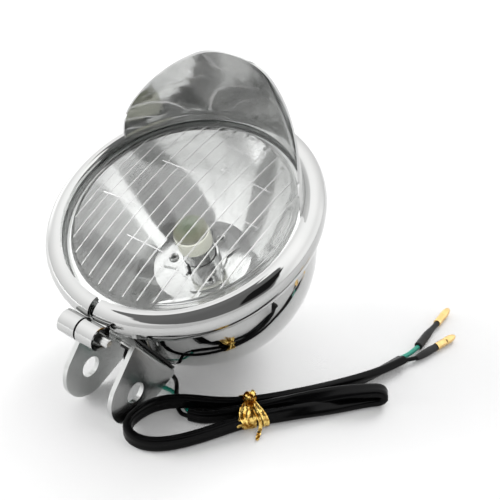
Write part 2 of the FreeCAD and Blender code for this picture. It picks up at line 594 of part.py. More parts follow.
# flat twin lead: out of the lamp, through the tie, folded at the right, back through
# the tie, round the left loop, through the tie again and to its free end
CORD = [
    (33.2, -35.8, 3.4), (37.6, -34.4, 3.4), (42.0, -31.2, 3.6), (47.0, -25.6, 3.9),
    (52.9, -18.2, 4.1), (59.2, -9.8, 4.3), (66.4, -0.6, 5.0), (74.4, 8.6, 6.1), (82.0, 16.4, 6.9), (88.4, 22.4, 7.2),
    (92.6, 26.0, 7.1), (93.7, 26.9, 4.6), (92.6, 25.8, 2.1),
    (88.6, 21.6, 2.1), (83.2, 14.2, 2.1), (76.6, 4.8, 2.3), (68.8, -5.6, 2.9), (61.2, -15.7, 3.8),
    (55.3, -24.5, 3.8), (50.5, -33.8, 3.5), (45.9, -43.2, 3.4), (40.5, -52.4, 3.4), (33.8, -59.8, 3.5), (26.4, -63.0, 3.9),
    (20.3, -61.8, 4.6), (17.1, -56.8, 5.2), (17.1, -49.8, 5.5), (19.0, -42.6, 5.7), (24.0, -35.7, 5.7), (31.2, -30.4, 5.5),
    (40.0, -24.2, 4.6), (48.6, -16.3, 4.1), (55.9, -7.2, 3.8), (62.6, 2.6, 3.5), (69.2, 12.4, 3.4), (75.1, 21.8, 3.4),
    (79.9, 31.6, 3.4), (83.4, 42.2, 3.2), (86.0, 53.4, 3.0)]
cord = sweep([tb(*p) for p in CORD], CORD_R, "cable_jacket")
save("cable_jacket", cord)
save("lead_green", sweep(lead_green, WIRE_R, "lead_green").cut(cord))
save("lead_black", sweep(lead_black, WIRE_R, "lead_black").cut(cord))

tail_g = [tb(85.0, 53.6, 3.0), tb(85.9, 57.2, 2.7), tb(86.4, 62.0, 2.2), tb(86.4, 67.0, 2.0)]
tail_b = [tb(87.0, 53.2, 3.0), tb(88.4, 56.0, 2.6), tb(89.7, 58.7, 2.2), tb(90.6, 61.2, 2.0)]


def lathe_between(p, q, profile):
    """a turned piece on the line p to q; profile is (distance, radius)"""
    p, q = V(*p), V(*q)
    d = q - p
    d.normalize()
    pts = [V(0, 0, profile[0][0])] + [V(r, 0, z) for z, r in profile] + [V(0, 0, profile[-1][0])]
    s = poly(pts).revolve(V(0, 0, 0), V(0, 0, 1), 360)
    s.Placement = FreeCAD.Placement(p, FreeCAD.Rotation(V(0, 0, 1), d))
    return s


sg0, sg1, bg1 = tb(86.4, 67.0, 2.0), tb(84.2, 87.6, 1.95), tb(82.8, 100.7, 1.95)
sb0, sb1, bb1 = tb(90.6, 61.2, 2.0), tb(93.0, 72.2, 1.95), tb(95.7, 84.6, 1.95)
lg = (V(*sg1) - V(*sg0)).Length
lb = (V(*sb1) - V(*sb0)).Length
sleeve_g = lathe_between(sg0, sg1, [(0, SLEEVE_R), (lg * 0.52, SLEEVE_R - 0.05), (lg * 0.72, 1.4), (lg, 1.4)])
sleeve_b = lathe_between(sb0, sb1, [(0, 1.4), (lb * 0.5, SLEEVE_R - 0.05), (lb * 0.75, SLEEVE_R - 0.1), (lb, 1.6)])
save("sleeve_green", sleeve_g)
save("sleeve_black", sleeve_b)
save("tail_green", sweep(tail_g, WIRE_R, "tail_green").cut(sleeve_g).cut(cord))
save("tail_black", sweep(tail_b, WIRE_R, "tail_black").cut(sleeve_b).cut(cord))


def bullet(p, q):
    L = (V(*q) - V(*p)).Length
    return lathe_between(p, q, [(0, BULLET_R), (L * 0.5, BULLET_R), (L * 0.52, BULLET_R - 0.3), (L * 0.6, BULLET_R - 0.3),
                                (L * 0.63, BULLET_R - 0.05), (L * 0.78, BULLET_R - 0.1), (L * 0.93, BULLET_R - 0.75), (L, 0.75)])


save("bullet_green", bullet(sg1, bg1))
save("bullet_black", bullet(sb1, bb1))

# foil tie round the three runs of lead, with a twisted top and two ends
tie_c = tb(53.6, -17.9, 0)
g_ang = math.degrees(math.atan2(0.77, 0.638))
band = Part.makeBox(11.0, 17.0, 8.6, V(-5.5, -8.7, 0))
band = band.makeFillet(3.0, [ed for ed in band.Edges if ed.BoundBox.XLength > 9])
hole = Part.makeBox(13.0, 16.0, 7.7, V(-6.5, -8.2, 0.45))
hole = hole.makeFillet(2.6, [ed for ed in hole.Edges if ed.BoundBox.XLength > 11])
band = band.cut(hole)
knot = Part.makeBox(3.4, 2.6, 4.4, V(-1.9, 0.0, 8.4))
knot = knot.makeFillet(0.6, [ed for ed in knot.Edges if ed.BoundBox.ZLength > 4])
end1 = Part.makeBox(2.2, 7.0, 0.5, V(-0.5, -15.0, 0.0))
end1 = end1.fuse(Part.makeBox(2.2, 0.7, 5.0, V(-0.5, -8.95, 0.0)))
tie = band.fuse([knot, end1]).removeSplitter()
tie.Placement = FreeCAD.Placement(V(*tie_c), FreeCAD.Rotation(V(0, 0, 1), g_ang))
save("twist_tie", tie)

# ------------------------------------------------------------------ summary
cord_names = {"cable_jacket", "lead_green", "lead_black", "tail_green", "tail_black", "sleeve_green", "sleeve_black",
              "bullet_green", "bullet_black", "twist_tie"}
lo = [1e9] * 3
hi = [-1e9] * 3
for name, ns, vol, bb in report:
    print("%-20s solids %d volume %9.1f  x %.1f..%.1f y %.1f..%.1f z %.2f..%.1f" % (name, ns, vol, bb.XMin, bb.XMax, bb.YMin, bb.YMax, bb.ZMin, bb.ZMax))
    if name in cord_names:
        continue
    lo = [min(a, b) for a, b in zip(lo, (bb.XMin, bb.YMin, bb.ZMin))]
    hi = [max(a, b) for a, b in zip(hi, (bb.XMax, bb.YMax, bb.ZMax))]
print("lamp box", lo, hi, "centre y", (lo[1] + hi[1]) / 2)
print("ear hole", BRK.multVec(V(0, BR_SHIFT, EAR_HOLE_D)), "ear radius", EAR_R, "nodes", len(report))
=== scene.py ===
import json
import math
import random

import bmesh
import bpy
from mathutils import Matrix, Vector


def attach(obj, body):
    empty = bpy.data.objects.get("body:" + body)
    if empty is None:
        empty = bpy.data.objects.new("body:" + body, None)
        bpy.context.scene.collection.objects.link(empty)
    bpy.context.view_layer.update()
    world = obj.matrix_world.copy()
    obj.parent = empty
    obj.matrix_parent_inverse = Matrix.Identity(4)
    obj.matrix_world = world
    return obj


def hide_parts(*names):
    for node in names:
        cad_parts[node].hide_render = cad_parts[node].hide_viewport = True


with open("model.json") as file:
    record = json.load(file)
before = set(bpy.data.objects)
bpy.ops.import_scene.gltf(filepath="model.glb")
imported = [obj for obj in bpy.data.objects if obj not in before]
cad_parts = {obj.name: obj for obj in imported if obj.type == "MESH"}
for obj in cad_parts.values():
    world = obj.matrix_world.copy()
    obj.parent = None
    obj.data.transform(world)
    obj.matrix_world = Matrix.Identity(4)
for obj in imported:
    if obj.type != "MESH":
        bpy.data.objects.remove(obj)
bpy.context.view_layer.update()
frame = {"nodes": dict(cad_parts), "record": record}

rng = random.Random(4117)
MM = 0.001
NODES = frame["nodes"]
col = bpy.context.scene.collection

# ---------------------------------------------------------------- frames of the lamp and its bracket
TILT = 20.11
Y_SHIFT = 1.84
BOWL_C = 26.47
BOWL_R = 54.91
PAD_D = 51.6
PAD_ANGLE = 35.5
BR_SHIFT = 1.4
Z_LIP = BOWL_C * math.cos(math.radians(TILT)) + BOWL_R
LAMP = Matrix.Translation((0, Y_SHIFT, Z_LIP)) @ Matrix.Rotation(math.radians(TILT), 4, "X")
BRK = LAMP @ Matrix.Translation((0, 0, -BOWL_C)) @ Matrix.Rotation(math.radians(90 + PAD_ANGLE - TILT), 4, "X")


def lamp_pt(x, u, n):
    return LAMP @ Vector((x, u, n))


def brk_pt(x, y, z):
    return BRK @ Vector((x, y, z))


def tb(x, y, z):
    """point over the table, given from the lens centre"""
    return Vector((x, y + Y_SHIFT, z))


# ---------------------------------------------------------------- camera
cam_data = bpy.data.cameras.new("camera")
cam_data.sensor_width = 36.0
cam_data.lens = 82.8
cam_data.clip_start = 0.01
cam = bpy.data.objects.new("camera", cam_data)
cam.location = (0.284683, -0.304578, 0.353846)
cam.rotation_euler = (math.radians(54.54), 0.0, math.radians(38.77))
col.objects.link(cam)
bpy.context.scene.camera = cam

# ---------------------------------------------------------------- node helpers


def new_mat(name):
    m = bpy.data.materials.new(name)
    m.use_nodes = True
    nt = m.node_tree
    b = nt.nodes["Principled BSDF"]
    return m, nt, b


def coords(nt, scale=(1, 1, 1)):
    tc = nt.nodes.new("ShaderNodeTexCoord")
    mp = nt.nodes.new("ShaderNodeMapping")
    mp.inputs["Scale"].default_value = scale
    nt.links.new(tc.outputs["Object"], mp.inputs["Vector"])
    return mp.outputs["Vector"]


def noise(nt, vec, scale, detail=3.0, rough=0.55, dist=0.0):
    n = nt.nodes.new("ShaderNodeTexNoise")
    n.inputs["Scale"].default_value = scale
    n.inputs["Detail"].default_value = detail
    n.inputs["Roughness"].default_value = rough
    n.inputs["Distortion"].default_value = dist
    nt.links.new(vec, n.inputs["Vector"])
    return n.outputs["Fac"]


def ramp(nt, fac, stops):
    r = nt.nodes.new("ShaderNodeValToRGB")
    e = r.color_ramp.elements
    while len(e) < len(stops):
        e.new(0.5)
    for k, (p, c) in zip(e, stops):
        k.position = p
        k.color = (*c, 1.0) if len(c) == 3 else c
    nt.links.new(fac, r.inputs["Fac"])
    return r.outputs["Color"]


def span(nt, fac, lo, hi, a=0.0, b=1.0):
    m = nt.nodes.new("ShaderNodeMapRange")
    m.inputs["From Min"].default_value = a
    m.inputs["From Max"].default_value = b
    m.inputs["To Min"].default_value = lo
    m.inputs["To Max"].default_value = hi
    nt.links.new(fac, m.inputs["Value"])
    return m.outputs["Result"]


def bump(nt, height, strength, dist, under=None):
    b = nt.nodes.new("ShaderNodeBump")
    b.inputs["Strength"].default_value = strength
    b.inputs["Distance"].default_value = dist
    nt.links.new(height, b.inputs["Height"])
    if under is not None:
        nt.links.new(under, b.inputs["Normal"])
    return b.outputs["Normal"]


def metal(name, c0, c1, r0, r1, mottle=60.0, grain=None, wave=None, scratch=None, metallic=1.0, edge=(0.3, 0.7)):
    """bright metal: faint cloudiness in colour and gloss, optional grain and waviness; with a dark c0 and a narrow
    edge span (the gold foil) the colour cloud becomes painted shade of folds
    """
    m, nt, b = new_mat(name)
    vec = coords(nt)
    # colour cloud: random tone variation; on the gold foil its dark brown end is painted shade for the foil's folds
    cloud_and_fold_shade = noise(nt, vec, mottle, 4.0, 0.6)
    nt.links.new(ramp(nt, cloud_and_fold_shade, [(edge[0], c0), (edge[1], c1)]), b.inputs["Base Color"])
    fine = noise(nt, vec, mottle * 9, 3.0, 0.6)
    nt.links.new(span(nt, fine, r0, r1, 0.3, 0.7), b.inputs["Roughness"])
    b.inputs["Metallic"].default_value = metallic
    nrm = None
    if wave:
        nrm = bump(nt, noise(nt, vec, wave[0], 2.0, 0.5), wave[1], wave[2])
    if grain:
        stretched = coords(nt, grain[0])
        nrm = bump(nt, noise(nt, stretched, grain[1], 3.0, 0.6), grain[2], grain[3], nrm)
    if scratch:
        s = coords(nt, scratch[0])
        v = nt.nodes.new("ShaderNodeTexVoronoi")
        v.feature = "DISTANCE_TO_EDGE"
        v.inputs["Scale"].default_value = scratch[1]
        nt.links.new(s, v.inputs["Vector"])
        line = span(nt, v.outputs["Distance"], 0.0, 1.0, 0.0, scratch[2])
        nrm = bump(nt, line, scratch[3], scratch[4], nrm)
    if nrm is not None:
        nt.links.new(nrm, b.inputs["Normal"])
    return m


def plastic(name, c0, c1, r0, r1, scale=400.0, bump_s=0.15, bump_d=0.0002, big=40.0, stretch=(1, 1, 1), level=0.5):
    m, nt, b = new_mat(name)
    b.inputs["Specular IOR Level"].default_value = level
    vec = coords(nt, stretch)
    nt.links.new(ramp(nt, noise(nt, vec, big, 4.0, 0.6), [(0.3, c0), (0.7, c1)]), b.inputs["Base Color"])
    fine = noise(nt, vec, scale, 4.0, 0.6)
    nt.links.new(span(nt, fine, r0, r1, 0.3, 0.7), b.inputs["Roughness"])
    nt.links.new(bump(nt, fine, bump_s, bump_d), b.inputs["Normal"])
    return m


def glass(name, c0, c1, r0, r1, ior, wave=(30.0, 0.05, 0.0005), transmission=1.0):
    m, nt, b = new_mat(name)
    vec = coords(nt)
    nt.links.new(ramp(nt, noise(nt, vec, 25.0, 3.0), [(0.35, c0), (0.65, c1)]), b.inputs["Base Color"])
    nt.links.new(span(nt, noise(nt, vec, 500.0, 2.0), r0, r1, 0.35, 0.65), b.inputs["Roughness"])
    nt.links.new(bump(nt, noise(nt, vec, wave[0], 2.0, 0.5), wave[1], wave[2]), b.inputs["Normal"])
    b.inputs["Transmission Weight"].default_value = transmission
    b.inputs["IOR"].default_value = ior
    return m


# ---------------------------------------------------------------- materials
M = {}
M["chrome"] = metal("chrome_plate", (0.465, 0.47, 0.465), (0.495, 0.495, 0.49), 0.015, 0.04, 45.0, wave=(55.0, 0.03, 0.0004))
M["visor"] = metal("visor_chrome", (0.42, 0.425, 0.425), (0.60, 0.60, 0.595), 0.05, 0.11, 40.0, wave=(60.0, 0.3, 0.0008))
M["bracket"] = metal("bracket_steel", (0.52, 0.53, 0.52), (0.60, 0.605, 0.60), 0.21, 0.26, 40.0, grain=((1, 1, 14), 500.0, 0.025, 0.0001))
M["zinc"] = metal("zinc_plate", (0.50, 0.505, 0.50), (0.60, 0.60, 0.59), 0.16, 0.26, 160.0, grain=((1, 1, 1), 900.0, 0.05, 0.0001))
M["mirror"] = metal("reflector_metal", (0.86, 0.865, 0.86), (0.91, 0.91, 0.905), 0.09, 0.13, 60.0, wave=(60.0, 0.04, 0.0005), metallic=0.72)
M["plate"] = metal("tin_plate", (0.74, 0.745, 0.74), (0.82, 0.82, 0.815), 0.08, 0.16, 120.0, grain=((1, 1, 1), 700.0, 0.03, 0.0001), metallic=0.8)
M["brass"] = metal("brass", (0.70, 0.46, 0.17), (0.85, 0.61, 0.28), 0.2, 0.36, 220.0, grain=((1, 1, 1), 1200.0, 0.12, 0.0001))
# gold foil: the dark brown patches in its colour are painted shade standing in for the dark folds of the crumpled foil
M["foil"] = metal("gold_foil", (0.26, 0.11, 0.01), (1.0, 0.72, 0.22), 0.07, 0.16, 330.0, wave=(150.0, 0.06, 0.0006), edge=(0.4, 0.56))
M["tungsten"] = metal("tungsten", (0.25, 0.25, 0.26), (0.4, 0.4, 0.41), 0.3, 0.45, 300.0)
M["lens"] = glass("lens_glass", (0.975, 0.985, 0.98), (0.99, 0.995, 0.99), 0.0, 0.012, 1.46)
M["ridge"] = glass("lens_ridge", (0.97, 0.975, 0.97), (1.0, 1.0, 1.0), 0.3, 0.42, 1.46, transmission=0.5)
M["bulb"] = glass("bulb_glass", (0.50, 0.50, 0.39), (0.60, 0.60, 0.50), 0.08, 0.14, 1.45, transmission=0.45)


def tint_and_painted_shade_along_axis(m, n0, n1, stops):
    """colour that changes along the lamp's axis from n0 to n1: the glass's olive tint, with painted shade making it
    darker towards n1
    """
    nt = m.node_tree
    b = next(n for n in nt.nodes if n.type == "BSDF_PRINCIPLED")
    axis = (lamp_pt(0, 0, 1) - lamp_pt(0, 0, 0)).normalized()
    tc = nt.nodes.new("ShaderNodeTexCoord")
    dot = nt.nodes.new("ShaderNodeVectorMath")
    dot.operation = "DOT_PRODUCT"
    nt.links.new(tc.outputs["Object"], dot.inputs[0])
    dot.inputs[1].default_value = tuple(axis)
    h = span(nt, dot.outputs["Value"], 0.0, 0.8, axis.dot(lamp_pt(0, 0, n0)) * MM, axis.dot(lamp_pt(0, 0, n1)) * MM)
    mix = nt.nodes.new("ShaderNodeMath")
    mix.operation = "MULTIPLY_ADD"
    nt.links.new(noise(nt, coords(nt), 140.0, 3.0), mix.inputs[0])
    mix.inputs[1].default_value = 0.3
    nt.links.new(h, mix.inputs[2])
    nt.links.new(ramp(nt, mix.outputs["Value"], stops), b.inputs["Base Color"])


# bulb dome: olive glass tint with painted shade, lighter by the collar (n -18.2) and darker towards the dome's top (n
# -12.2)
tint_and_painted_shade_along_axis(M["bulb"], -18.2, -12.2, [(0.12, (0.66, 0.66, 0.58)), (0.5, (0.36, 0.36, 0.26)), (0.95, (0.17, 0.21, 0.14))])
M["rubber"] = plastic("rubber", (0.012, 0.012, 0.012), (0.03, 0.03, 0.03), 0.5, 0.7, 700.0, 0.2)
M["seal"] = plastic("pale_seal", (0.48, 0.51, 0.49), (0.56, 0.59, 0.57), 0.35, 0.5, 600.0, 0.1)
M["cream"] = plastic("cream_plastic", (0.88, 0.89, 0.76), (0.95, 0.95, 0.85), 0.35, 0.5, 500.0, 0.1)
M["fibre"] = plastic("fibre_board", (0.22, 0.12, 0.06), (0.34, 0.2, 0.1), 0.5, 0.7, 600.0, 0.2)
M["black"] = plastic("black_pvc", (0.0008, 0.0008, 0.0009), (0.002, 0.002, 0.0022), 0.2, 0.3, 900.0, 0.12, 0.0001, 120.0, level=0.1)
M["sleeve"] = plastic("shrink_sleeve", (0.004, 0.004, 0.0042), (0.010, 0.010, 0.0102), 0.38, 0.55, 600.0, 0.2, 0.0001, 150.0, level=0.3)
M["green"] = plastic("green_pvc", (0.0, 0.21, 0.145), (0.004, 0.285, 0.2), 0.28, 0.4, 700.0, 0.1, 0.0001, 120.0)

BY_SLOT = {"chrome": "chrome", "bracket_steel": "bracket", "zinc": "zinc", "lens_glass": "lens", "bulb_glass": "bulb",
           "reflector_metal": "mirror", "rubber": "rubber", "cream_plastic": "cream", "fibre": "fibre", "tungsten": "tungsten",
           "black_pvc": "black", "green_pvc": "green", "brass": "brass", "gold_foil": "foil"}
for part in frame["record"]["subparts"]:
    node = NODES[part["node"]]
    key = BY_SLOT[part["material_slot"]]
    key = {"visor": "visor", "lens_gasket": "seal", "bulb_socket": "plate", "socket_eyelets": "plate"}.get(part["node"], key)
    node.data.materials.clear()
    node.data.materials.append(M[key])

# ---------------------------------------------------------------- curves


def nurbs(name, points, resolution=10, bevel=0.0, sides=6):
    """one open NURBS spline with the route's points (mm) as its control points"""
    cu = bpy.data.curves.new(name, "CURVE")
    cu.dimensions = "3D"
    sp = cu.splines.new("NURBS")
    sp.points.add(len(points) - 1)
    for q, p in zip(sp.points, points):
        q.co = (p[0] * MM, p[1] * MM, p[2] * MM, 1.0)
    sp.order_u = 3
    sp.use_endpoint_u = True
    sp.resolution_u = resolution
    cu.resolution_u = resolution
    cu.bevel_depth = bevel * MM
    cu.bevel_resolution = sides
    cu.use_fill_caps = True
    ob = bpy.data.objects.new(name, cu)
    col.objects.link(ob)
    return ob


def line_of(points, resolution=10):
    """points (metres) along the NURBS spline of a route"""
    ob = nurbs("route", points, resolution)
    me = bpy.data.meshes.new_from_object(ob.evaluated_get(bpy.context.evaluated_depsgraph_get()))
    out = [v.co.copy() for v in me.vertices]
    bpy.data.meshes.remove(me)
    cu = ob.data
    bpy.data.objects.remove(ob)
    bpy.data.curves.remove(cu)
    return out


def mesh_object(name, verts, faces, mat, smooth_angle=35.0, second=None, second_faces=()):
    me = bpy.data.meshes.new(name)
    me.from_pydata([tuple(v) for v in verts], [], faces)
    if second is not None:
        for i in second_faces:
            me.polygons[i].material_index = 1
    me.validate()
    bm = bmesh.new()
    bm.from_mesh(me)
    bmesh.ops.remove_doubles(bm, verts=bm.verts, dist=1e-7)
    bmesh.ops.recalc_face_normals(bm, faces=bm.faces)
    bm.to_mesh(me)
    bm.free()
    me.polygons.foreach_set("use_smooth", [True] * len(me.polygons))
    if smooth_angle:
        me.set_sharp_from_angle(angle=math.radians(smooth_angle))
    me.materials.append(mat)
    if second is not None:
        me.materials.append(second)
    ob = bpy.data.objects.new(name, me)
    col.objects.link(ob)
    return ob


def tangents(path):
    t = []
    for i in range(len(path)):
        d = path[min(i + 1, len(path) - 1)] - path[max(i - 1, 0)]
        t.append(d.normalized())
    return t


def sweep(name, rings, mat, closed=False, smooth_angle=35.0):
    """skin over a list of rings of points; the ends are capped"""
    n = len(rings[0])
    verts = [p for r in rings for p in r]
    faces = []
    m = len(rings)
    for i in range(m if closed else m - 1):
        j = (i + 1) % m
        for k in range(n):
            l = (k + 1) % n
            faces.append((i * n + k, i * n + l, j * n + l, j * n + k))
    if not closed:
        faces.append(tuple(range(n - 1, -1, -1)))
        faces.append(tuple((m - 1) * n + k for k in range(n)))
    return mesh_object(name, verts, faces, mat, smooth_angle)


# ---------------------------------------------------------------- flat twin lead
# x, y from the lens centre, height over the table, lean of the wide side from upright
ROUTE = [
    (33.2, -35.8, 3.4, 0), (37.6, -34.4, 3.4, 0), (42.0, -31.2, 3.6, 0), (47.0, -25.6, 3.9, 0),
    (52.9, -18.2, 4.1, 0), (59.2, -9.8, 4.3, 12), (66.4, -0.6, 5.0, 38), (74.4, 8.6, 6.1, 62), (82.0, 16.4, 6.9, 76), (88.4, 22.4, 7.2, 86),
    (92.6, 26.0, 7.1, 90), (93.7, 26.9, 4.6, 90), (92.6, 25.8, 2.1, 90),
    (88.6, 21.6, 2.1, 90), (83.2, 14.2, 2.1, 86), (76.6, 4.8, 2.3, 66), (68.8, -5.6, 2.9, 36), (61.2, -15.7, 3.8, 8),
    (55.3, -24.5, 3.8, 0), (50.5, -33.8, 3.5, 0), (45.9, -43.2, 3.4, 0), (40.5, -52.4, 3.4, 0), (33.8, -59.8, 3.5, 0), (26.4, -63.0, 3.9, 0),
    (20.3, -61.8, 4.6, 0), (17.1, -56.8, 5.2, 0), (17.1, -49.8, 5.5, 0), (19.0, -42.6, 5.7, 0), (24.0, -35.7, 5.7, 0), (31.2, -30.4, 5.5, 0),
    (40.0, -24.2, 4.6, 0), (48.6, -16.3, 4.1, 0), (55.9, -7.2, 3.8, 0), (62.6, 2.6, 3.5, 0), (69.2, 12.4, 3.4, 0), (75.1, 21.8, 3.4, 0),
    (79.9, 31.6, 3.4, 20), (83.4, 42.2, 3.2, 45), (86.0, 53.4, 3.0, 55)]
cord_path = line_of([tb(*p[:3]) for p in ROUTE], 9)
lean_path = [v.y / MM for v in line_of([Vector((i, p[3], 0)) for i, p in enumerate(ROUTE)], 9)]
HW, HT = 3.4, 2.05


def strap_section(n=40):
    """flat twin lead: two round cores side by side under one sheath, a shallow groove between"""
    pts = []
    for k in range(n):
        a = 2 * math.pi * k / n
        c, s = math.cos(a), math.sin(a)
        e = 2.0 / 3.4
        w = HW * math.copysign(abs(c) ** e, c)
        h = HT * math.copysign(abs(s) ** e, s)
        h *= 1.0 - 0.13 * math.exp(-(w / 0.75) ** 2)
        pts.append((w, h))
    return pts


SECTION = strap_section()
up = Vector((0, 0, 1))
tan = tangents(cord_path)
side_prev = None
cord_rings = []
REAR = Vector((-0.754, 0.657, 0))
for p, t, lean in zip(cord_path, tan, lean_path):
    a = t.cross(up)
    if a.length < 0.25 and side_prev is not None:
        a = side_prev.copy()
    a = (a - t * a.dot(t)).normalized()
    if side_prev is None:
        if a.dot(REAR) < 0:
            a = -a
    elif a.dot(side_prev) < 0:
        a = -a
    side_prev = a
    n2 = t.cross(a).normalized()
    if n2.z < 0 and abs(n2.z) > 0.05:
        n2 = -n2
    le = math.radians(lean)
    wide = (n2 * math.cos(le) + a * math.sin(le)).normalized()
    thin = t.cross(wide).normalized()
    ring = [p + (wide * w + thin * h) * MM for w, h in SECTION]
    lift = max(0.0, 0.05 * MM - min(q.z for q in ring))
    p.z += lift
    cord_rings.append([q + Vector((0, 0, lift)) for q in ring])
# the sign of the wide side may not flip from ring to ring
for i in range(1, len(cord_rings)):
    best, shift = None, 0
    n = len(SECTION)
    for s in (0, n // 2):
        d = sum((cord_rings[i][(k + s) % n] - cord_rings[i - 1][k]).length for k in range(0, n, 4))
        e = sum((cord_rings[i][(s - k) % n] - cord_rings[i - 1][k]).length for k in range(0, n, 4))
        for val, key in ((d, (s, 1)), (e, (s, -1))):
            if best is None or val < best:
                best, shift = val, key
    s, sg = shift
    cord_rings[i] = [cord_rings[i][(s + sg * k) % n] for k in range(n)]
cable = sweep("cable", cord_rings, M["black"], smooth_angle=50)
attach(cable, "root")
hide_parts("cable_jacket")

# ---------------------------------------------------------------- single wires
wo = 1.08
GREEN = [brk_pt(wo, BR_SHIFT, 52.0), brk_pt(wo, BR_SHIFT, 59.6), brk_pt(2.0, -6.0, 61.6), brk_pt(4.6, -13.4, 64.6),
         tb(9.0, -29.8, 2.4), tb(14.8, -27.6, 1.1), tb(20.6, -28.4, 1.05), tb(26.6, -31.4, 1.05), tb(30.6, -33.6, 1.7), tb(34.4, -35.0, 3.4)]
BLACK = [brk_pt(-wo, BR_SHIFT, 52.0), brk_pt(-wo, BR_SHIFT, 59.6), brk_pt(-0.2, -5.4, 60.8), brk_pt(2.0, -13.0, 61.6),
         tb(5.0, -25.8, 5.0), tb(9.4, -20.8, 2.9), tb(13.6, -22.4, 2.8), tb(17.8, -26.6, 4.6), tb(22.0, -32.0, 1.3), tb(26.6, -35.4, 1.05),
         tb(31.0, -37.0, 1.9), tb(34.4, -36.0, 3.0)]
TAIL_G = [tb(85.0, 53.6, 3.0), tb(85.9, 57.2, 2.7), tb(86.4, 62.0, 2.2), tb(86.4, 67.0, 2.0)]
TAIL_B = [tb(87.0, 53.2, 3.0), tb(88.4, 56.0, 2.6), tb(89.7, 58.7, 2.2), tb(90.6, 61.2, 2.0)]


def wire(name, points, node, mat, r=1.0):
    ob = nurbs(name, points, 10, r, 6)
    ob.data.materials.append(mat)
    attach(ob, "root")
    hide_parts(node)
    return ob


wires = [wire("wire_green", GREEN, "lead_green", M["green"]),
         wire("wire_black", BLACK, "lead_black", M["black"]),
         wire("end_green", TAIL_G, "tail_green", M["green"], 1.12),
         wire("end_black", TAIL_B, "tail_black", M["black"])]

# ---------------------------------------------------------------- lens: fine raised ribs on a clear dome
FLUTE_R = 49.4
PITCH = 7.0
DOME_O = (52.0 ** 2 + 5.5 ** 2) / 11.0
DOME_C = 3.0 - DOME_O
DOME_I = DOME_O - 2.755
RIB = (-0.32, -0.25, -0.16, -0.06, 0.06, 0.16, 0.25, 0.32)


def front_n(r):
    return DOME_C + math.sqrt(DOME_O ** 2 - r * r)


def back_n(r):
    return DOME_C + math.sqrt(DOME_I ** 2 - r * r)


def rib_height(x, u):
    """height of the outer face over the dome: a round rib at each pitch"""
    f = x / PITCH
    d = abs(f - round(f)) * PITCH
    edge = min(1.0, max(0.0, (FLUTE_R - 0.4 - math.hypot(x, u)) / 0.8))
    return 0.25 * math.cos(math.pi * d / 0.64) * edge if d < 0.32 else 0.0


def lens_body():
    xs = set()
    for k in range(-6, 7):
        for d in RIB:
            xs.add(round(k * PITCH + d, 4))
    for i in range(1, 80):
        x = FLUTE_R * math.cos(math.radians(180.0 * i / 80))
        f = x / PITCH
        if abs(f - round(f)) * PITCH > 0.7 or abs(x) > 46:
            xs.add(round(x, 4))
    xs = sorted(xs)
    nc, nr = len(xs), 46
    grid = []
    for i, x in enumerate(xs):
        U = math.sqrt(FLUTE_R ** 2 - x * x)
        column = []
        for j in range(nr):
            u = U * (2.0 * j / (nr - 1) - 1)
            xx = x if 0 < i < nc - 1 else math.copysign(math.sqrt(FLUTE_R ** 2 - u * u), x)
            column.append((xx, u))
        grid.append(column)
    verts, faces, ribs = [], [], []
    for column in grid:
        for x, u in column:
            verts.append(lamp_pt(x, u, front_n(math.hypot(x, u)) + rib_height(x, u)) * MM)
    off = len(verts)
    for column in grid:
        for x, u in column:
            verts.append(lamp_pt(x, u, back_n(math.hypot(x, u))) * MM)
    for i in range(nc - 1):
        mid = (xs[i] + xs[i + 1]) / 2 / PITCH
        on_rib = abs(mid - round(mid)) * PITCH < 0.3 and abs(round(mid)) <= 6
        for j in range(nr - 1):
            a, b, c, d = i * nr + j, (i + 1) * nr + j, (i + 1) * nr + j + 1, i * nr + j + 1
            if on_rib:
                ribs.append(len(faces))
            faces.append((a, b, c, d))
            faces.append((off + a, off + d, off + c, off + b))
    loop = [i * nr for i in range(nc)] + [(nc - 1) * nr + j for j in range(1, nr - 1)]
    loop += [i * nr + nr - 1 for i in range(nc - 1, -1, -1)] + [j for j in range(nr - 2, 0, -1)]
    angles = [math.atan2(grid[k // nr][k % nr][1], grid[k // nr][k % nr][0]) for k in loop]
    rim = [(49.7, -2.3), (50.0, -2.75), (50.6, -2.95), (51.8, -3.0), (53.2, -2.92), (54.2, -2.6), (55.0, -2.55), (56.2, -2.55), (56.6, -2.95),
           (56.6, -5.0), (56.2, -5.4), (52.0, -5.4), (50.7, -5.4), (50.1, -5.25), (49.7, -5.0)]
    prev = loop
    for r, n in rim:
        start = len(verts)
        for a in angles:
            verts.append(lamp_pt(r * math.cos(a), r * math.sin(a), n) * MM)
        cur = [start + k for k in range(len(loop))]
        for k in range(len(loop)):
            l = (k + 1) % len(loop)
            faces.append((prev[k], prev[l], cur[l], cur[k]))
        prev = cur
    for k in range(len(loop)):
        l = (k + 1) % len(loop)
        faces.append((prev[k], prev[l], off + loop[l], off + loop[k]))
    # short ribs across
    for x0, x1, u in ((-24.5, -3.5, 17.0), (3.5, 31.5, 24.5), (17.5, 38.5, 6.0), (-38.5, -17.5, -9.0), (-10.5, 10.5, -24.0), (-3.5, 17.5, 38.0)):
        rows = []
        steps = 26
        for i in range(steps + 1):
            x = x0 + (x1 - x0) * i / steps
            h = 0.2 * min(1.0, 0.15 + min(i, steps - i) / 2.0)
            rows.append(len(verts))
            for k in range(8):
                t = math.pi * k / 7
                uu = u - 0.28 * math.cos(t)
                verts.append(lamp_pt(x, uu, front_n(math.hypot(x, uu)) - 0.05 + (h + 0.05) * math.sin(t)) * MM)
        for i in range(steps):
            for k in range(8):
                l = (k + 1) % 8
                ribs.append(len(faces))
                faces.append((rows[i] + k, rows[i] + l, rows[i + 1] + l, rows[i + 1] + k))
        faces.append(tuple(rows[0] + k for k in range(8)))
        faces.append(tuple(rows[-1] + 7 - k for k in range(8)))
    return mesh_object("lens_fluted", verts, faces, M["lens"], 40.0, M["ridge"], ribs)


lens = lens_body()
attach(lens, "root")
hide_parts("lens")

